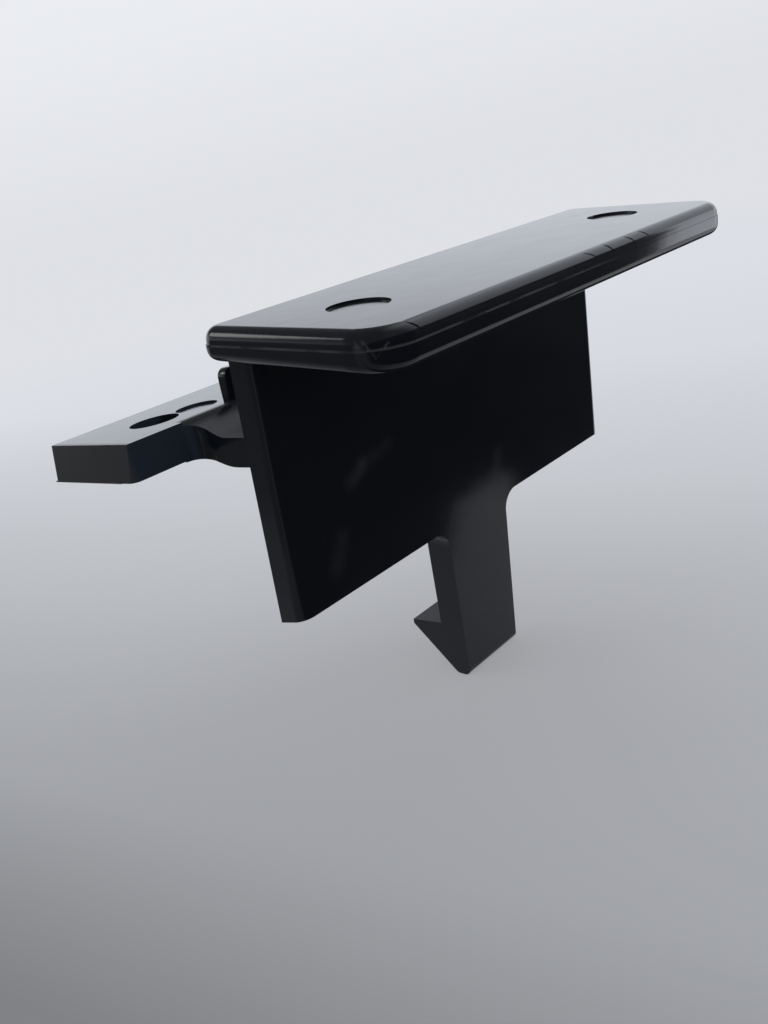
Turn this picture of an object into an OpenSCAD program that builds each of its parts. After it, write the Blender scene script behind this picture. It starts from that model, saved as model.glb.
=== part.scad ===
// One moulded latch for the lid of a vehicle console.
// The screw tab lies flat with its top face at height zero.
// The screw line runs along X, the finger lip points to -Y.

/* [Finger plate] */
// Length of the finger plate along X
plate_len = 63; // [48:0.2:84]
// How far the finger lip stands out in front of the web
plate_front = 17.25; // [13:0.05:24]
// How far the plate stands out behind the web
rear_over = 0.35; // [0.2:0.05:4]
// Thickness of the plate at its back
plate_t = 3; // [2.9:0.1:4.5]
// Slope by which the plate's underside drops toward the front edge, degrees
wedge_slope = 1.6; // [0.4:0.1:4]
// Plan radius of the two front corners
corner_front = 4.1; // [3:0.1:6.5]
// Plan radius of the two rear corners
corner_rear = 1.8; // [1.5:0.1:2.8]
// Radius of the top edge
edge_top = 1.2; // [0.4:0.05:1.4]
// Radius of the bottom edge
edge_bottom = 1.1; // [0.4:0.05:1.2]
// Step by which the lower mould half stands out at the parting line
parting_step = 0.08; // [0.02:0.01:0.2]

/* [Web] */
// Inset of the web from each end of the plate
web_inset = 2.6; // [1.5:0.1:6]
// Thickness of the web
web_t = 3.4; // [2.6:0.1:5]
// Depth of the web below the top of the plate
web_depth = 29.1; // [20:0.1:40]
// Radius of the two front upright corners
web_corner = 1.4; // [0.6:0.1:2]
// Slope of the web's lower face toward its rear edge, degrees
foot_slope = 7; // [0:0.5:12]
// Lean of the plate, web and hook against the screw tab, degrees
lean = 6.1; // [0:0.1:10]

/* [Hook] */
// Width of the stem where it leaves the web
stem_w = 11.6; // [8:0.1:16]
// Narrowing of the stem from root to end, on each side
stem_taper = 0.9; // [0:0.05:1.6]
// Set-back of the stem's rear face from the web's rear face
stem_relief = 0.15; // [0.05:0.05:0.6]
// Length of the stem from the web down to the catch shelf
stem_len = 12.8; // [8:0.1:24]
// Reach of the barb behind the stem
barb_reach = 4.3; // [2.5:0.1:6]
// Height of the blunt tip of the barb
barb_tip = 0.6; // [0.3:0.05:1.2]
// Height of the barb from its shelf to the lowest point
barb_h = 6.6; // [4.5:0.1:10]
// Radius of the rounded lower end
hook_round = 0.9; // [0.5:0.05:1.3]
// Width of the flat under the lower end
hook_flat = 0.6; // [0.2:0.05:1]
// Radius of the two root fillets
root_fillet = 2.4; // [1:0.1:4]

/* [Flex strip] */
// Inset of the flex strip from each end of the web
strip_inset = 4.7; // [2:0.1:9]
// Thickness of the flex strip
strip_t = 3.15; // [2.2:0.05:4]
// Depth of the strip's top below the tab's top face
strip_drop = 2.2; // [1.2:0.1:3]
// Length of the double bend on the strip's upper side
bend_top = 5.9; // [4:0.1:8]
// Length of the double bend on its lower side
bend_low = 6.5; // [4:0.1:8]
// Where both bends start, measured back from the tab's front edge
bend_start = 1.4; // [0.5:0.1:2.5]
// Plan radius where the strip meets the tab
strip_fillet = 2.2; // [0.8:0.1:3]

/* [Screw tab] */
// Reach of the tab past each side of the flex strip
tab_reach = 8.4; // [5:0.1:14]
// Reach of the tab in front of the screw line
tab_front = 6; // [5:0.1:8]
// Reach of the tab behind the screw line
tab_back = 8; // [5:0.1:11]
// Thickness of the tab
tab_t = 3.9; // [3:0.1:5]
// Draft of the tab's rear side over its thickness
tab_draft = 0.25; // [0.05:0.05:0.5]
// Radius of the two front upright corners of the tab
tab_corner = 1; // [0.5:0.1:2]
// Thin flash left by the mould round the tab's lower edge
flash = 0.12; // [0.05:0.01:0.3]
// Distance of each screw hole from its end of the tab
screw_inset = 7.9; // [5:0.1:11]
// Diameter of the screw holes
screw_d = 5.4; // [4:0.1:6.5]
// Distance from the screw line forward to the web's front face
web_offset = 23.7; // [20:0.1:32]
// Height of the plate's top at the web above the tab
plate_rise = 9.6; // [8.5:0.1:14]

/* [Stop wall] */
// Inset of the stop wall from each side of the flex strip
stop_inset = 5.1; // [2:0.1:9]
// Height of the stop wall above the tab
stop_h = 3.65; // [2:0.05:5]
// Thickness of the stop wall
stop_t = 1.2; // [0.8:0.1:2]
// Radius of its two upper corners
stop_round = 1.1; // [0.5:0.1:1.8]
// Draft of its two ends from foot to top
stop_draft = 0.4; // [0.1:0.05:0.8]

/* [Ejector marks] */
// Diameter of the two round marks on the plate
mark_d = 5.7; // [4:0.1:9]
// Distance of each of those marks from its end of the plate
mark_inset = 9; // [6:0.1:14]
// Distance of those marks forward from the web's front face
mark_front = 7.2; // [5:0.1:8]
// Diameter of the two round marks on the tab
tab_mark_d = 4.7; // [3:0.1:6]
// Inset of those two marks from the sides of the flex strip
tab_mark_inset = 4.6; // [3:0.1:9]
// Distance of those two marks in front of the screw line
tab_mark_front = 1; // [0:0.1:1.5]
// Depth of all marks
mark_deep = 0.25; // [0.05:0.01:0.4]

/* [Hidden] */
// Smoothness of the round shapes
$fn = 96;
// Overlap that joins neighbouring shapes, and the overrun of cuts
lap = 2;
// Shift that keeps a round cut from only touching a flat face
touch = 0.02;
// Half length of the plate and of its lower mould half
plate_x = plate_len / 2;
lower_x = plate_x + parting_step;
// Reach of the plate back from the web's front face
plate_back = web_t + rear_over;
// Depth of the parting line below the plate's top
part_z = plate_t / 2;
// Rear limit and thickness of the lower mould half, and how far the upper one reaches into it
lower_back = plate_back + parting_step;
lower_h = plate_t - part_z;
grip = (lower_h - edge_bottom) / 2;
// Rear end of the sloping underside, its length along the slope and its raised top
wedge_y = lower_back + lower_h * tan(wedge_slope);
wedge_run = (lower_back + plate_front + parting_step) * cos(wedge_slope);
wedge_h = lower_h + wedge_run * sin(wedge_slope) + lap;
// Half length of the web, the flex strip, the tab and the stop wall
web_x = plate_x - web_inset;
strip_x = web_x - strip_inset;
tab_x = strip_x + tab_reach;
stop_x = strip_x - stop_inset;
// Places of the screw holes and the marks to each side of the middle
screw_x = tab_x - screw_inset;
mark_x = plate_x - mark_inset;
tab_mark_x = strip_x - tab_mark_inset;
// Slope of level surfaces in the leaning frame
level = tan(lean);
// Thickness of the stem, and its half width at root and end
stem_t = web_t - stem_relief;
stem_hi = stem_w / 2;
stem_lo = stem_hi - stem_taper;
// Depths of the catch shelf and the hook's lowest point
shelf_depth = web_depth + stem_len;
hook_depth = shelf_depth + barb_h;
// Place of the web's lower front edge
foot_y = -web_offset + web_depth * sin(lean);
foot_z = plate_rise - web_depth * cos(lean);
// Underside of the flex strip, and its end inside the web
strip_low = -strip_drop - strip_t;
strip_end = -web_offset + (plate_rise + strip_drop) * level + web_t / 2;
// Where the double bends start, and the steps in each
bend_y = -tab_front + bend_start;
bend_steps = 14;
// Draft of the tab's front and of its two ends
front_draft = tab_draft / 2;
end_draft = 2 * tab_draft;

// Names of the sub-parts and which of them to draw

// Moves its children into the leaning frame of plate, web and hook.
// Its origin lies on the web's front face, at the top of the plate.
module leaning() {
  translate([0, -web_offset, plate_rise])
    rotate([lean, 0, 0])
      children();
}

// Extrudes a side view, drawn with Y to the right and Z up, to x on each side.
module across(x) {
  translate([-x, 0, 0])
    rotate([90, 0, 90])
      linear_extrude(2 * x)
        children();
}

// Extrudes a front view, drawn with X to the right and Z up, from y0 to y1.
module along(y0, y1) {
  translate([0, y1, 0])
    rotate([90, 0, 0])
      linear_extrude(y1 - y0)
        children();
}

// Outline of a plate edge, w wide and h deep, with one rounded corner.
module edge_outline(w, h, r) {
  square([w - r, h]);
  square([w, h - r]);
  intersection() {
    translate([w - r, h - r])
      circle(r);
    square([w, h]);
  }
}

// Quarter of a rounded corner, filling the +X +Y quadrant.
module edge_corner(w, h, r) {
  rotate_extrude(angle = 90)
    edge_outline(w, h, r);
}

// Front part of a plate half, from the front edge back to y1.
module front_half(x, front, y1, h, r) {
  c = corner_front;
  y0 = -front + c;
  translate([0, y0, 0])
    rotate([0, 0, 180])
      across(x - c)
        edge_outline(c, h, r);
  for (s = [0, 1])
    mirror([s, 0, 0])
      translate([x - c, 0, 0]) {
        translate([0, y0, 0])
          rotate([0, 0, -90])
            edge_corner(c, h, r);
        along(y0, y1)
          edge_outline(c, h, r);
      }
  translate([-x + c, y0, 0])
    cube([2 * (x - c), y1 - y0, h]);
}

// Rear part of a plate half, from y0 back to the rear edge.
module rear_half(x, back, y0, h, r) {
  c = corner_rear;
  y1 = back - c;
  translate([0, y1, 0])
    across(x - c)
      edge_outline(c, h, r);
  for (s = [0, 1])
    mirror([s, 0, 0])
      translate([x - c, 0, 0]) {
        translate([0, y1, 0])
          edge_corner(c, h, r);
        along(y0, y1)
          edge_outline(c, h, r);
      }
  translate([-x + c, y0, 0])
    cube([2 * (x - c), y1 - y0, h]);
}

// Lower mould half, drawn with depth upward, growing deeper toward the front.
module lower_half() {
  intersection() {
    translate([0, wedge_y, lower_h])
      rotate([-wedge_slope, 0, 0])
        translate([0, 0, -wedge_h]) {
          front_half(lower_x, wedge_run, lap - wedge_run / 2, wedge_h, edge_bottom);
          rear_half(lower_x, 0, -wedge_run / 2, wedge_h, edge_bottom);
        }
    translate([-plate_len, -2 * plate_front, 0])
      cube([2 * plate_len, 4 * plate_front, 2 * plate_t]);
  }
}

// Finger plate with rounded edges, in two mould halves.
module finger_plate() {
  translate([0, 0, -part_z]) {
    // upper mould half, reaching into the lower one
    translate([0, 0, -grip]) {
      front_half(plate_x, plate_front, lap - plate_front / 2, part_z + grip, edge_top);
      rear_half(plate_x, plate_back, -plate_front / 2, part_z + grip, edge_top);
    }
    // lower mould half, turned over
    mirror([0, 0, 1])
      lower_half();
  }
}

// Plan of the web, with rounded front corners.
module web_plan() {
  inner_x = web_x - web_corner;
  translate([-web_x, web_corner])
    square([2 * web_x, web_t - web_corner]);
  translate([-inner_x, 0])
    square([2 * inner_x, web_t]);
  for (s = [-1, 1])
    translate([s * inner_x, web_corner])
      circle(web_corner);
}

// Upright web below the plate, cut to the slope of its lower face.
module web() {
  base = -web_depth - web_t;
  difference() {
    leaning()
      translate([0, 0, base])
        linear_extrude(-part_z / 2 - base)
          web_plan();
    translate([-plate_x, foot_y, foot_z])
      rotate([-foot_slope, 0, 0])
        translate([0, -web_t, -3 * web_t])
          cube([plate_len, 4 * web_t, 3 * web_t]);
  }
}

// Side view of the hook, with a level shelf and a rounded lower end.
module hook_side() {
  r = hook_round;
  low = -hook_depth + r;
  tip_y = stem_t + barb_reach;
  tip_z = -shelf_depth - barb_reach * level;
  polygon(concat(
    [
      [0, -web_depth + lap],
      [stem_t, -web_depth + lap],
      [stem_t, -shelf_depth],
      [tip_y, tip_z],
      [tip_y, tip_z - barb_tip]
    ],
    [for (a = [320 : -10 : 270]) [r + hook_flat + r * cos(a), low + r * sin(a)]],
    [for (a = [260 : -10 : 180]) [r + r * cos(a), low + r * sin(a)]]
  ));
}

// Front view of the hook with its taper and root fillets.
module hook_front() {
  r = root_fillet;
  top = -web_depth + lap;
  low = -web_depth - r;
  end = -hook_depth - lap;
  x = stem_hi - stem_taper * r / (hook_depth - web_depth);
  difference() {
    polygon([
      [-x - r, top],
      [x + r, top],
      [x + r, low],
      [x, low],
      [stem_lo, end],
      [-stem_lo, end],
      [-x, low],
      [-x - r, low]
    ]);
    for (s = [-1, 1])
      translate([s * (x + r - touch), low + touch])
        circle(r);
  }
}

// Hook below the web, its barb pointing back under the tab.
module hook() {
  intersection() {
    across(stem_w)
      hook_side();
    along(-lap, stem_t + barb_reach + lap)
      hook_front();
  }
}

// Points of a smooth double bend from (y, z), going forward and down.
function double_bend(y, z, run, drop) = [
  for (i = [0 : bend_steps])
    let (u = i / bend_steps)
      [y - run * u, z - drop * (1 - cos(180 * u)) / 2]
];

// Side view of the flex strip.
module strip_side() {
  under = double_bend(bend_y, -tab_t, bend_low, -strip_low - tab_t);
  polygon(concat(
    double_bend(bend_y, 0, bend_top, strip_drop),
    [[strip_end, -strip_drop], [strip_end, strip_low]],
    [for (i = [bend_steps : -1 : 0]) under[i]]
  ));
}

// Plan of the flex strip with fillets at the tab.
module strip_plan() {
  r = strip_fillet;
  translate([-strip_x, -web_offset])
    square([2 * strip_x, web_offset]);
  for (s = [0, 1])
    mirror([s, 0])
      difference() {
        translate([strip_x - lap, -tab_front - r])
          square([r + lap, r + lap]);
        translate([strip_x + r, -tab_front - r])
          circle(r);
      }
}

// Flex strip between the web and the tab.
module flex_strip() {
  intersection() {
    across(tab_x)
      strip_side();
    translate([0, 0, strip_low - lap])
      linear_extrude(2 * lap - strip_low)
        strip_plan();
  }
}

// Plan of the tab at its lower edge, with rounded front corners.
module tab_plan() {
  r = tab_corner;
  x = tab_x + end_draft;
  front = tab_front + front_draft;
  translate([-x, -front + r])
    square([2 * x, front + 2 * tab_back]);
  translate([-x + r, -front])
    square([2 * (x - r), 2 * r]);
  for (s = [-1, 1])
    translate([s * (x - r), -front + r])
      circle(r);
}

// Side view of what the upper bend takes off the tab's front edge.
module bend_cut() {
  polygon(concat(
    double_bend(bend_y, 0, bend_top, strip_drop),
    [[bend_y - bend_top, lap], [bend_y, lap]]
  ));
}

// Screw tab with drafted sides and ends and a thin flash at its lower edge.
module screw_tab() {
  flash_x = tab_x + end_draft + flash;
  flash_y = -tab_front + 2 * tab_corner;
  difference() {
    intersection() {
      across(2 * tab_x)
        polygon([
          [-tab_front, 0],
          [tab_back, 0],
          [tab_back + tab_draft, -tab_t],
          [-tab_front - front_draft, -tab_t]
        ]);
      along(-2 * tab_front, 2 * tab_back)
        polygon([
          [-tab_x, 0],
          [tab_x, 0],
          [tab_x + end_draft, -tab_t],
          [-tab_x - end_draft, -tab_t]
        ]);
      translate([0, 0, -tab_t])
        linear_extrude(tab_t)
          tab_plan();
    }
    across(strip_x + bend_start)
      bend_cut();
  }
  translate([-flash_x, flash_y, -tab_t])
    cube([2 * flash_x, tab_back + tab_draft + flash - flash_y, flash]);
}

// Front view of the stop wall with drafted ends and round upper corners.
module stop_front() {
  r = stop_round;
  x = stop_x - stop_draft - r;
  z = stop_h - r;
  polygon(concat(
    [[-stop_x, -tab_t / 2], [stop_x, -tab_t / 2]],
    [for (a = [0 : 10 : 90]) [x + r * cos(a), z + r * sin(a)]],
    [for (a = [90 : 10 : 180]) [-x + r * cos(a), z + r * sin(a)]]
  ));
}

// Plan of the stop wall with round ends.
module stop_plan() {
  r = stop_t / 2;
  translate([-stop_x + r, -tab_front])
    square([2 * (stop_x - r), stop_t]);
  for (s = [-1, 1])
    translate([s * (stop_x - r), -tab_front + r])
      circle(r);
}

// Low wall on the tab's front edge that limits the flex.
module stop_wall() {
  intersection() {
    along(-tab_front, -tab_front + stop_t)
      stop_front();
    translate([0, 0, -tab_t / 2])
      linear_extrude(stop_h + tab_t)
        stop_plan();
  }
}

// Two round recesses of diameter d, at x on each side, in a top face.
module marks(x, d) {
  for (s = [-1, 1])
    translate([s * x, 0, -mark_deep])
      cylinder(d = d, h = lap);
}

// The two screw holes through the tab.
module screw_holes() {
  for (s = [-1, 1])
    translate([s * screw_x, 0, -tab_t - lap])
      cylinder(d = screw_d, h = tab_t + 2 * lap);
}

// The whole latch, moulded as one piece.
module latch() {
  color([0.07, 0.07, 0.08])
    difference() {
      union() {
        leaning() {
          finger_plate();
          hook();
        }
        web();
        flex_strip();
        screw_tab();
        stop_wall();
      }
      screw_holes();
      leaning()
        translate([0, -mark_front, 0])
          marks(mark_x, mark_d);
      translate([0, -tab_mark_front, 0])
        marks(tab_mark_x, tab_mark_d);
    }
}

latch();
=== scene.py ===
import math

import bmesh
import bpy
from mathutils import Matrix, Vector


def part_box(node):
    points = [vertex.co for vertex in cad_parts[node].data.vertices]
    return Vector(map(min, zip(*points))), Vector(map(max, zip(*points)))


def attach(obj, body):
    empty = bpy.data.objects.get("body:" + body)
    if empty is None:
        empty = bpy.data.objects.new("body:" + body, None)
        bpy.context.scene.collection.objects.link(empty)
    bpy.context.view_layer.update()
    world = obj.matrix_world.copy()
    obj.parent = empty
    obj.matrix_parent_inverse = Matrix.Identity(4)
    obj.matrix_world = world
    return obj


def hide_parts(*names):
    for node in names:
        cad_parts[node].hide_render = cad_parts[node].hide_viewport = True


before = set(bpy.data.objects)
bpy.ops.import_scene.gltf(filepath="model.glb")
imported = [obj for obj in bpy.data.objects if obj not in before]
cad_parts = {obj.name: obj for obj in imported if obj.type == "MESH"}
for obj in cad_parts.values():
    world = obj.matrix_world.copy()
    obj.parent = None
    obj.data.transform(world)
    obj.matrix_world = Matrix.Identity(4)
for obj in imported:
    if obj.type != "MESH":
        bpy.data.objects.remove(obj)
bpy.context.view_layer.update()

# Lengths are in metres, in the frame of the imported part
MM = 0.001
NODE = "latch"
BODY = "root"
FLOOR_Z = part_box(NODE)[0].z

# Leaning frame of the plate, web and hook: its origin is on the web's front face, at the plate's top
LEAN = math.radians(6.1)
WEB_OFFSET = 23.7 * MM
PLATE_RISE = 9.6 * MM
LEANING = Matrix.Translation((0, -WEB_OFFSET, PLATE_RISE)) @ Matrix.Rotation(LEAN, 4, "X")
UPRIGHT = LEANING.inverted()

# Places on the plate, in the leaning frame, and the radius of its top edge
PLATE_FRONT = 17.25 * MM
PLATE_BACK = 3.83 * MM
PARTING_Z = -1.5 * MM
PLATE_LOW = -3.8 * MM
EDGE_TOP = 1.2 * MM

# Limits that tell the screw tab's edges from others
TAB_T = 3.9 * MM
TAB_END = 32.4 * MM
TAB_FRONT = 6.5 * MM
FLASH = 0.12 * MM

# Mesh work: angles that count as flat and as sharp, and radii for plain edges and for rims
WELD = 2e-6
FLAT_ANGLE = math.radians(0.4)
SHARP_ANGLE = math.radians(32)
EDGE_SEGMENTS = 3
EDGE_ROUND = 0.16 * MM
RIM_ROUND = 0.06 * MM
RIM_DEPTH = 0.4 * MM
NEAR = 0.1 * MM

# Nicks in the plate's front edge: place along X in millimetres, and slant along X for a given rise
NICKS = [(-27.3, -0.8), (-0.3, -1.5), (3.4, -0.7), (7.8, -1.0), (10.9, -1.1)]
NICK_RISE = 0.7
NICK_HALF_LENGTH = 0.8 * MM
NICK_DEPTH = 0.17 * MM
NICK_HALF_WIDTH = 0.15 * MM
NICK_OVER = 0.3 * MM

# Nubs of flash left on the parting line, in the leaning frame and millimetres
NUBS = [(-31.5, 2.4, -1.55), (31.2, -15.2, -1.5)]
NUB_R = 0.17 * MM
NUB_SHAPE = Matrix.Diagonal((1.3, 1, 0.6, 1))


def leaning(x, y, z):
    """Point of the leaning frame, in millimetres, as a place in the part's frame."""
    return LEANING @ Vector((x * MM, y * MM, z * MM))


def edge_kind(edge):
    """Which rounding a sharp edge gets: None, "rim" or "edge"."""
    middle = (edge.verts[0].co + edge.verts[1].co) / 2
    local = UPRIGHT @ middle
    on_plate = local.y < PLATE_BACK + NEAR and local.z > PLATE_LOW
    on_parting_line = on_plate and abs(local.z - PARTING_Z) < NEAR
    on_tab = middle.y > -TAB_FRONT and local.y > PLATE_BACK + TAB_FRONT
    on_flash = on_tab and middle.z < -TAB_T + FLASH + NEAR
    if on_parting_line or on_flash:
        return None
    on_plate_top = on_plate and local.z > -RIM_DEPTH
    inside_tab = middle.y > -TAB_FRONT / 2 and abs(middle.x) < TAB_END - FLASH
    on_tab_top = inside_tab and abs(middle.z) < RIM_DEPTH
    if on_plate_top or on_tab_top:
        return "rim"
    return "edge"


def sharp_edges(bm, kind):
    """Sharp edges of the mesh that get the rounding called kind."""
    return [
        e
        for e in bm.edges
        if len(e.link_faces) == 2
        and e.calc_face_angle() > SHARP_ANGLE
        and edge_kind(e) == kind
    ]


def round_edges(bm, kind, size):
    bmesh.ops.bevel(
        bm,
        geom=sharp_edges(bm, kind),
        offset=size,
        offset_type="OFFSET",
        segments=EDGE_SEGMENTS,
        profile=0.5,
        affect="EDGES",
        clamp_overlap=True,
    )


def nick_wedges():
    """Mesh of thin wedges that lie across the plate's rounded front edge."""
    outward = Vector((0, -1, 1)).normalized()
    reach = EDGE_TOP * (1 - math.sqrt(0.5))
    wide = Vector((NICK_HALF_WIDTH * (NICK_DEPTH + NICK_OVER) / NICK_DEPTH, 0, 0))
    bm = bmesh.new()
    for x, slant in NICKS:
        middle = Vector((x * MM, -PLATE_FRONT + reach, -reach))
        along = Vector((slant, NICK_RISE, NICK_RISE)).normalized() * NICK_HALF_LENGTH
        rings = []
        for end in (-1, 1):
            place = middle + along * end
            corners = [
                place - outward * NICK_DEPTH,
                place + outward * NICK_OVER + wide,
                place + outward * NICK_OVER - wide,
            ]
            rings.append([bm.verts.new(LEANING @ c) for c in corners])
        for i in range(3):
            j = (i + 1) % 3
            bm.faces.new((rings[0][i], rings[0][j], rings[1][j], rings[1][i]))
        bm.faces.new(rings[0])
        bm.faces.new(rings[1])
    bmesh.ops.recalc_face_normals(bm, faces=bm.faces)
    mesh = bpy.data.meshes.new("nick_wedges")
    bm.to_mesh(mesh)
    bm.free()
    return mesh


def cut_nicks(mesh):
    """The mesh without the wedges."""
    whole = bpy.data.objects.new("whole", mesh)
    wedges = bpy.data.objects.new("wedges", nick_wedges())
    for o in (whole, wedges):
        bpy.context.scene.collection.objects.link(o)
    cut = whole.modifiers.new("nicks", "BOOLEAN")
    cut.operation = "DIFFERENCE"
    cut.solver = "EXACT"
    cut.object = wedges
    graph = bpy.context.evaluated_depsgraph_get()
    nicked = bpy.data.meshes.new_from_object(whole.evaluated_get(graph))
    for o in (whole, wedges):
        bpy.data.objects.remove(o)
    return nicked


def make_body():
    """The moulded body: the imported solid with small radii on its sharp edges, nicks and flash nubs."""
    bm = bmesh.new()
    bm.from_mesh(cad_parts[NODE].data)
    bmesh.ops.remove_doubles(bm, verts=bm.verts, dist=WELD)
    bmesh.ops.dissolve_limit(bm, angle_limit=FLAT_ANGLE, verts=bm.verts, edges=bm.edges)
    round_edges(bm, "edge", EDGE_ROUND)
    round_edges(bm, "rim", RIM_ROUND)
    mesh = bpy.data.meshes.new("rounded")
    bm.to_mesh(mesh)
    bm.clear()
    bm.from_mesh(cut_nicks(mesh))
    for place in NUBS:
        put = Matrix.Translation(leaning(*place)) @ NUB_SHAPE
        bmesh.ops.create_icosphere(bm, subdivisions=2, radius=NUB_R, matrix=put)
    for face in bm.faces:
        face.smooth = True
    for edge in bm.edges:
        edge.smooth = len(edge.link_faces) == 2 and edge.calc_face_angle() < SHARP_ANGLE
    mesh = bpy.data.meshes.new("latch_body")
    bm.to_mesh(mesh)
    bm.free()
    body = bpy.data.objects.new("latch_body", mesh)
    bpy.context.scene.collection.objects.link(body)
    body.modifiers.new("flat_faces", "WEIGHTED_NORMAL").keep_sharp = True
    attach(body, BODY)
    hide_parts(NODE)
    return body


def plug(tree, socket, value):
    """Links a socket to another one, or sets it to a value."""
    if isinstance(value, bpy.types.NodeSocket):
        tree.links.new(value, socket)
    else:
        socket.default_value = value


def add_node(tree, kind, **inputs):
    """New shader node with some of its inputs set to a value or linked to a socket."""
    node = tree.nodes.new(kind)
    for name, value in inputs.items():
        plug(tree, node.inputs[name.replace("_", " ")], value)
    return node


def number(tree, operation, *values):
    """Result of a Math node."""
    node = add_node(tree, "ShaderNodeMath")
    node.operation = operation
    for socket, value in zip(node.inputs, values):
        plug(tree, socket, value)
    return node.outputs["Value"]


def vector(tree, operation, *values, out="Vector"):
    """Result of a Vector Math node."""
    node = add_node(tree, "ShaderNodeVectorMath")
    node.operation = operation
    for socket, value in zip(node.inputs, values):
        plug(tree, socket, value)
    return node.outputs[out]


def fade(tree, value, low, high):
    """0 where value is at low, 1 where it is at high, smooth between them."""
    node = add_node(tree, "ShaderNodeMapRange", Value=value, From_Min=low, From_Max=high)
    node.interpolation_type = "SMOOTHSTEP"
    return node.outputs["Result"]


def blend(tree, factor, a, b):
    """Colour between a and b."""
    node = add_node(tree, "ShaderNodeMix")
    node.data_type = "RGBA"
    for name, value in (("Factor", factor), ("A", a), ("B", b)):
        plug(tree, node.inputs[name], value)
    return node.outputs["Result"]


def product(tree, *values):
    """Product of two or more masks."""
    total = values[0]
    for value in values[1:]:
        total = number(tree, "MULTIPLY", total, value)
    return total


def noise(tree, place, stretch, detail=2.0):
    """Noise value at a place in millimetres, with the features per millimetre along each axis."""
    scaled = vector(tree, "MULTIPLY", place, stretch)
    node = add_node(tree, "ShaderNodeTexNoise", Vector=scaled, Scale=1.0, Detail=detail)
    return node.outputs["Fac"]


def stroke(tree, place, a, b, radius):
    """1 on the line from a to b, falling to 0 at radius."""
    whole = Vector(b) - Vector(a)
    part = vector(tree, "SUBTRACT", place, a)
    share = vector(tree, "DOT_PRODUCT", part, whole / whole.length_squared, out="Value")
    share = number(tree, "MINIMUM", number(tree, "MAXIMUM", share, 0), 1)
    foot = vector(tree, "MULTIPLY", whole, share)
    gap = vector(tree, "DISTANCE", part, foot, out="Value")
    return fade(tree, gap, radius, 0)


def strokes(tree, place, marks):
    """Strongest of some strokes at each place."""
    total = 0.0
    for a, b, radius, strength in marks:
        one = number(tree, "MULTIPLY", stroke(tree, place, a, b, radius), strength)
        total = number(tree, "MAXIMUM", one, total)
    return total


# Marks of use, in the leaning frame and millimetres: two ends of a stroke, its radius and its strength
SMUDGES = [
    ((-19.6, 0, -18.1), (-17.6, 0, -17.0), 1.5, 0.50),
    ((-18.6, 0, -17.4), (-13.4, 0, -16.2), 1.3, 0.22),
    ((-23.6, 0, -25.8), (-22.2, 0, -23.2), 1.7, 0.28),
    ((5.2, 0, -24.0), (3.2, 0, -30.0), 1.6, 0.35),
]
SCUFFS = [
    ((-31.2, -14.75, -0.6), (-30.67, -15.62, -2.0), 0.22, 0.5),
    ((-30.67, -15.62, -2.1), (-29.9, -16.4, -1.1), 0.20, 0.5),
    ((-31.35, -14.2, -0.5), (-31.25, -14.55, -1.3), 0.16, 0.4),
]

# Patterns of the surface: features per millimetre along each axis
SMEARS = (0.16, 0.3, 0.22)
HAIR = (0.05, 4.5, 4.5)
RUBBED = (0.12, 0.12, 0.12)
STREAKS = (0.5, 0.5, 0.2)
FLECKS = (5.0, 5.0, 5.0)
SEAM_GAPS = (0.25, 0.25, 0.25)
GRAIN = (7.0, 7.0, 7.0)
WAVES = (0.35, 0.35, 0.35)
END_LINES = (0.3, 0.3, 9.0)
DUST_SCALE = 0.4

# Regions: where a mask is 0 and where it is 1, in millimetres
END_X = (31.8, 32.2)
END_Y = (-6.6, -6.2)
SEAM_OFF = (0.13, 0.04)
SEAM_BACK = (PLATE_BACK / MM + 0.3, PLATE_BACK / MM + 0.2)
SEAM_X = (14, -12)
STRIP_Y = (-6.0, -8.5)
STRIP_Z = (-8, -9)
TAB_SIDE_Y = (5, 7)
TAB_SIDE_Z = (0.3, 0)
SPECK = (0.05, 0.03)

# Directions that a surface faces, as parts of its normal: where a mask is 0 and where it is 1
STRIP_UP = (0.6, 0.8)
SCRATCHED_UP = (0.85, 0.97)
DUSTY_UP = (0.9, 0.98)
FORWARD = (-0.5, -0.9)

# Colours of the plastic, of what is on it, and of light and shade painted on it
BLACK = (0.0042, 0.0054, 0.0076, 1)
SMEARED = (0.0054, 0.0068, 0.0092, 1)
# painted sheen: lighter grey on the tab's ends
END_PAINTED_SHEEN = (0.020, 0.020, 0.020, 1)
# painted light on the flex strip's upward faces
STRIP_TOP_PAINTED_LIGHT = (0.045, 0.048, 0.052, 1)
# painted sheen: paler blue on the tab's forward-facing front side
TAB_FRONT_SHEEN_BLUE = (0.020, 0.025, 0.036, 1)
SCRATCH_GREY = (0.05, 0.05, 0.055, 1)
SMUDGE_GREY = (0.05, 0.053, 0.06, 1)
SCUFF_GREY = (0.07, 0.075, 0.08, 1)
# painted highlight along the parting line
SEAM_HIGHLIGHT_GREY = (0.06, 0.062, 0.066, 1)
DUST_GREY = (0.16, 0.16, 0.16, 1)

# Gloss and bump of the plastic
ROUGH = 0.12
ROUGH_SMEARS = 0.06
WAVE_HEIGHT = 6.0
LINE_HEIGHT = 6.0
MARK_DEPTH = 3.0
BUMP_STRENGTH = 0.4
BUMP_HEIGHT = 0.004 * MM
PLASTIC_IOR = 1.42


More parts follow.
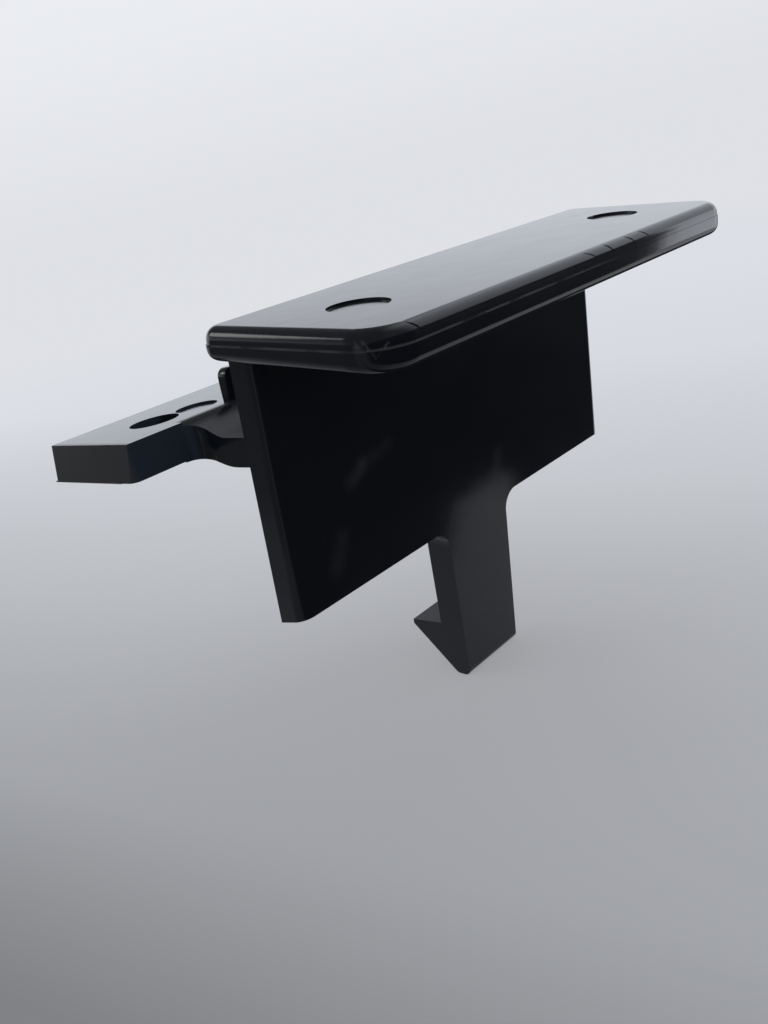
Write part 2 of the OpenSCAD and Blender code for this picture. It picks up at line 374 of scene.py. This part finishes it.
def make_plastic():
    """Semi-gloss black moulded plastic with handling marks, and with some light and shade painted on it.
    """
    material = bpy.data.materials.new("black_plastic")
    material.use_nodes = True
    tree = material.node_tree
    shader = tree.nodes["Principled BSDF"]
    metres = add_node(tree, "ShaderNodeTexCoord").outputs["Object"]
    place = vector(tree, "MULTIPLY", metres, (1 / MM, 1 / MM, 1 / MM))
    axes = add_node(tree, "ShaderNodeSeparateXYZ", Vector=place).outputs
    normal = add_node(tree, "ShaderNodeNewGeometry").outputs["Normal"]
    facing = add_node(tree, "ShaderNodeSeparateXYZ", Vector=normal).outputs
    up = facing["Z"]

    # turn into the leaning frame, where the marks of use are given
    shifted = vector(tree, "SUBTRACT", place, (0, -WEB_OFFSET / MM, PLATE_RISE / MM))
    turned = add_node(tree, "ShaderNodeVectorRotate", Vector=shifted, Angle=-LEAN)
    turned.rotation_type = "X_AXIS"
    local = turned.outputs["Vector"]
    own = add_node(tree, "ShaderNodeSeparateXYZ", Vector=local).outputs

    smears = noise(tree, place, SMEARS, 3.0)
    hair = fade(tree, noise(tree, place, HAIR, 1.0), 0.68, 0.76)
    rubbed = fade(tree, noise(tree, place, RUBBED), 0.50, 0.66)
    scratches = product(tree, hair, rubbed, fade(tree, up, *SCRATCHED_UP))
    streaks = fade(tree, noise(tree, place, STREAKS), 0.15, 0.65)
    smudges = product(tree, strokes(tree, local, SMUDGES), streaks)
    flecks = fade(tree, noise(tree, place, FLECKS), 0.3, 0.6)
    scuffs = product(tree, strokes(tree, local, SCUFFS), flecks)
    dots = add_node(tree, "ShaderNodeTexVoronoi", Vector=place, Scale=DUST_SCALE).outputs["Distance"]
    dust = product(tree, fade(tree, dots, *SPECK), fade(tree, up, *DUSTY_UP))

    # the tab's two ends: rougher and lined, with a lighter grey painted on as the sheen they catch
    across = number(tree, "ABSOLUTE", axes["X"])
    ends = product(tree, fade(tree, across, *END_X), fade(tree, axes["Y"], *END_Y))

    # thin light line painted along the parting line where the mould halves met, as the highlight it
    # catches; rougher there too
    off_seam = number(tree, "ABSOLUTE", number(tree, "SUBTRACT", own["Z"], PARTING_Z / MM))
    seam = product(
        tree,
        fade(tree, off_seam, *SEAM_OFF),
        fade(tree, own["Y"], *SEAM_BACK),
        fade(tree, axes["X"], *SEAM_X),
        fade(tree, noise(tree, place, SEAM_GAPS), 0.25, 0.65),
    )

    # rougher top of the flex strip, with a lighter grey painted on its upward faces as light falling
    # there
    dull_and_lit_strip = product(
        tree,
        fade(tree, up, *STRIP_UP),
        fade(tree, axes["Y"], *STRIP_Y),
        fade(tree, own["Z"], *STRIP_Z),
    )
    # paler blue painted on the tab's forward-facing front side, as the light it reflects
    pale = product(
        tree,
        fade(tree, facing["Y"], *FORWARD),
        fade(tree, own["Y"], *TAB_SIDE_Y),
        fade(tree, axes["Z"], *TAB_SIDE_Z),
    )

    # each layer's mask, how much of its colour shows, that colour, and what it adds to the roughness
    layers = [
        # painted sheen on the tab's ends
        (ends, 1.0, END_PAINTED_SHEEN, 0.10),
        # painted light on the flex strip's top, which is also rougher
        (dull_and_lit_strip, 1.0, STRIP_TOP_PAINTED_LIGHT, 0.36),
        # painted sheen on the tab's front side
        (pale, 1.0, TAB_FRONT_SHEEN_BLUE, 0.0),
        (scratches, 0.2, SCRATCH_GREY, 0.08),
        (smudges, 0.45, SMUDGE_GREY, 0.2),
        (scuffs, 0.8, SCUFF_GREY, 0.25),
        # painted highlight on the parting line
        (seam, 0.6, SEAM_HIGHLIGHT_GREY, 0.2),
        (dust, 0.15, DUST_GREY, 0.0),
    ]
    colour = blend(tree, smears, BLACK, SMEARED)
    rough = number(tree, "MULTIPLY_ADD", smears, ROUGH_SMEARS, ROUGH)
    for mask, share, layer_colour, rougher in layers:
        colour = blend(tree, product(tree, mask, share), colour, layer_colour)
        rough = number(tree, "MULTIPLY_ADD", mask, rougher, rough)
    plug(tree, shader.inputs["Base Color"], colour)
    plug(tree, shader.inputs["Roughness"], rough)

    height = noise(tree, place, GRAIN)
    for pattern, rise in (
        (noise(tree, place, WAVES, 1.0), WAVE_HEIGHT),
        (product(tree, noise(tree, place, END_LINES, 1.0), ends), LINE_HEIGHT),
        (number(tree, "ADD", scratches, scuffs), -MARK_DEPTH),
    ):
        height = number(tree, "MULTIPLY_ADD", pattern, rise, height)
    bump = add_node(
        tree, "ShaderNodeBump", Height=height, Strength=BUMP_STRENGTH, Distance=BUMP_HEIGHT
    )
    plug(tree, shader.inputs["Normal"], bump.outputs["Normal"])
    shader.inputs["IOR"].default_value = PLASTIC_IOR
    return material


# Camera at the photograph's viewing angle
CAMERA_EYE = Vector((-84.93, -89.5, 17.23)) * MM
CAMERA_LOOK = Vector((0.68013, 0.66946, -0.29875))
CAMERA_UP = Vector((0.37104, 0.03711, 0.92787))
CAMERA_LENS = 35.0
SENSOR = 36.0
CLIP_NEAR = 0.005
CLIP_FAR = 20


def make_camera():
    data = bpy.data.cameras.new("camera")
    data.sensor_width = SENSOR
    data.lens = CAMERA_LENS
    data.clip_start = CLIP_NEAR
    data.clip_end = CLIP_FAR
    camera = bpy.data.objects.new("camera", data)
    look = CAMERA_LOOK.normalized()
    right = look.cross(CAMERA_UP).normalized()
    up = right.cross(look)
    turn = Matrix((right, up, -look)).transposed().to_4x4()
    camera.matrix_world = Matrix.Translation(CAMERA_EYE) @ turn
    bpy.context.scene.collection.objects.link(camera)
    bpy.context.scene.camera = camera


# Directions on the floor, as the photograph shows it
BACKWARD = Vector((CAMERA_LOOK.x, CAMERA_LOOK.y, 0)).normalized()
RIGHT = BACKWARD.cross((0, 0, 1))

# Tints of the floor and backdrop, and of what the latch reflects
TINT = (0.98, 1.0, 1.045)
COOL = (0.955, 1.0, 1.085)

# Floor: it grows brighter in one direction, with these tones at places along it, and evens out far away.
# The tones are painted light and shade
FLOOR_SIZE = 6.0
BRIGHTER = BACKWARD + RIGHT * 0.75
FLOOR_PAINTED_TONES = [
    (-0.08, 0.23),
    (-0.05, 0.395),
    (0.01, 0.515),
    (0.075, 0.60),
    (0.20, 0.71),
    (0.42, 0.75),
]
FAR_TONE = FLOOR_PAINTED_TONES[-1][1]
FAR_AWAY = (0.15, 0.60)
FLOOR_ROUGH = 0.9
FLOOR_SPECULAR = 0.1
# How much of its colour the floor shows even in the latch's shadow, as a glow of its own: painted light
SHADE_FREE = 0.55

# World: its tones in reflections, as the backdrop and as light, and where it changes between them
MIRRORED_FRONT = 0.26
MIRRORED_BACK = 1.12
MIRRORED_ABOVE = 0.16
BACKDROP = 0.84
SKY_LIGHT = 0.93
BEHIND = (-0.35, 0.45)
LEFT = (0.40, 0.10)
ABOVE = (0.22, 0.50)
HORIZON = (0.0, 0.22)


def shade(tone, tint=TINT):
    """Grey of a tone, a little bluish."""
    return tuple(tone * t for t in tint) + (1,)


def add_sheet(name, corners):
    mesh = bpy.data.meshes.new(name)
    mesh.from_pydata(corners, [], [tuple(range(len(corners)))])
    sheet = bpy.data.objects.new(name, mesh)
    bpy.context.scene.collection.objects.link(sheet)
    return sheet


def make_floor():
    s = FLOOR_SIZE
    floor = add_sheet("floor", [(x, y, FLOOR_Z) for x, y in ((-s, -s), (s, -s), (s, s), (-s, s))])
    material = bpy.data.materials.new("pale_floor")
    material.use_nodes = True
    tree = material.node_tree
    place = add_node(tree, "ShaderNodeNewGeometry").outputs["Position"]
    along = vector(tree, "DOT_PRODUCT", place, BRIGHTER, out="Value")
    near, far = FLOOR_PAINTED_TONES[0][0], FLOOR_PAINTED_TONES[-1][0]
    share = add_node(tree, "ShaderNodeMapRange", Value=along, From_Min=near, From_Max=far)
    # painted light and shade: the floor's tones along its brighter direction
    ramp = add_node(tree, "ShaderNodeValToRGB", Fac=share.outputs["Result"])
    stops = ramp.color_ramp.elements
    while len(stops) < len(FLOOR_PAINTED_TONES):
        stops.new(0.5)
    # places first and colours after, because the ramp sorts its stops by place
    for stop, (at, _) in zip(stops, FLOOR_PAINTED_TONES):
        stop.position = (at - near) / (far - near)
    for stop, (_, tone) in zip(stops, FLOOR_PAINTED_TONES):
        stop.color = shade(tone)
    distant = fade(tree, vector(tree, "LENGTH", place, out="Value"), *FAR_AWAY)
    colour = blend(tree, distant, ramp.outputs["Color"], shade(FAR_TONE))
    shader = tree.nodes["Principled BSDF"]
    shader.inputs["Roughness"].default_value = FLOOR_ROUGH
    shader.inputs["Specular IOR Level"].default_value = FLOOR_SPECULAR
    plug(tree, shader.inputs["Base Color"], colour)

    # the floor glows with its own colour in what the camera and reflections see: painted light that
    # lightens the shadow and leaves no seam at the horizon
    rays = add_node(tree, "ShaderNodeLightPath").outputs
    seen = number(tree, "MAXIMUM", rays["Is Camera Ray"], rays["Is Glossy Ray"])
    clear = number(tree, "MAXIMUM", distant, SHADE_FREE)
    glow = add_node(tree, "ShaderNodeEmission", Color=colour)
    mix = tree.nodes.new("ShaderNodeMixShader")
    plug(tree, mix.inputs[0], product(tree, seen, clear))
    plug(tree, mix.inputs[1], shader.outputs["BSDF"])
    plug(tree, mix.inputs[2], glow.outputs["Emission"])
    plug(tree, tree.nodes["Material Output"].inputs["Surface"], mix.outputs["Shader"])
    floor.data.materials.append(material)


def card_along_x(y, outline):
    """Corners of an upright card at y, from its outline in X and Z."""
    return [(x, y, z) for x, z in outline]


def card_along_y(x, start, end, top):
    """Corners of an upright card at x that stands on the floor."""
    return [(x, start, FLOOR_Z), (x, end, FLOOR_Z), (x, end, top), (x, start, top)]


# Cards round the latch, glowing sheets that only its reflections show: painted reflections, dark and
# bright. Name, corners and radiance
LIP_OUTLINE = [
    (-0.30, -0.013),
    (0.046, -0.013),
    (0.044, 0.004),
    (0.040, 0.014),
    (-0.30, 0.014),
]
# with a notch, through which the hook's stem reflects the floor
WEB_OUTLINE = [
    (-0.10, FLOOR_Z),
    (0.017, FLOOR_Z),
    (0.020, -0.031),
    (0.033, -0.030),
    (0.036, FLOOR_Z),
    (0.12, FLOOR_Z),
    (0.12, 0.003),
    (-0.10, 0.003),
]
CARDS = [
    ("lip_card", card_along_x(-54 * MM, LIP_OUTLINE), 0.01),
    ("web_card", card_along_x(-38 * MM, WEB_OUTLINE), 0.02),
    ("pale_card", card_along_y(0.16, -0.20, -0.06, 0.03), 1.9),
    ("grey_card", card_along_y(-0.095, -0.02, 0.16, 0.02), 0.13),
]


def add_card(name, corners, radiance):
    """Glowing card that only the latch's reflections show: a painted reflection."""
    card = add_sheet(name, corners)
    material = bpy.data.materials.new(name)
    material.use_nodes = True
    tree = material.node_tree
    glow = add_node(tree, "ShaderNodeEmission", Color=shade(radiance, COOL))
    plug(tree, tree.nodes["Material Output"].inputs["Surface"], glow.outputs["Emission"])
    card.data.materials.append(material)
    card.visible_camera = False
    card.visible_diffuse = False
    card.visible_shadow = False
    card.visible_transmission = False


def make_world():
    """Even soft light, a bright band round the back in reflections and a pale backdrop."""
    world = bpy.data.worlds.new("studio")
    bpy.context.scene.world = world
    world.use_nodes = True
    tree = world.node_tree
    tree.nodes.clear()
    way = add_node(tree, "ShaderNodeTexCoord").outputs["Generated"]
    height = add_node(tree, "ShaderNodeSeparateXYZ", Vector=way).outputs["Z"]
    behind = fade(tree, vector(tree, "DOT_PRODUCT", way, BACKWARD, out="Value"), *BEHIND)
    left = fade(tree, vector(tree, "DOT_PRODUCT", way, RIGHT, out="Value"), *LEFT)
    band = blend(tree, behind, shade(MIRRORED_FRONT, COOL), shade(MIRRORED_BACK, COOL))
    upper = product(tree, fade(tree, height, *ABOVE), left)
    mirrored = blend(tree, upper, band, shade(MIRRORED_ABOVE))
    shown = blend(tree, fade(tree, height, *HORIZON), shade(FAR_TONE), shade(BACKDROP))
    rays = add_node(tree, "ShaderNodeLightPath").outputs
    colour = blend(tree, rays["Is Glossy Ray"], shade(SKY_LIGHT), mirrored)
    colour = blend(tree, rays["Is Camera Ray"], colour, shown)
    back = add_node(tree, "ShaderNodeBackground", Color=colour)
    out = add_node(tree, "ShaderNodeOutputWorld")
    plug(tree, out.inputs["Surface"], back.outputs["Background"])


def add_softbox(name, way, distance, width, height, radiance):
    """Soft lamp that shines on the latch from the direction way."""
    data = bpy.data.lights.new(name, "AREA")
    data.shape = "RECTANGLE"
    data.size = width
    data.size_y = height
    data.energy = radiance * math.pi * width * height
    lamp = bpy.data.objects.new(name, data)
    lamp.location = Vector(way).normalized() * distance
    lamp.rotation_mode = "QUATERNION"
    lamp.rotation_quaternion = (-lamp.location).to_track_quat("-Z", "Y")
    bpy.context.scene.collection.objects.link(lamp)


body = make_body()
body.data.materials.append(make_plastic())
make_camera()
make_floor()
for card in CARDS:
    add_card(*card)
make_world()
add_softbox("window", way=(-0.42, 0.71, 0.56), distance=0.9, width=0.30, height=0.24, radiance=3.5)
bpy.context.scene.view_settings.view_transform = "Standard"
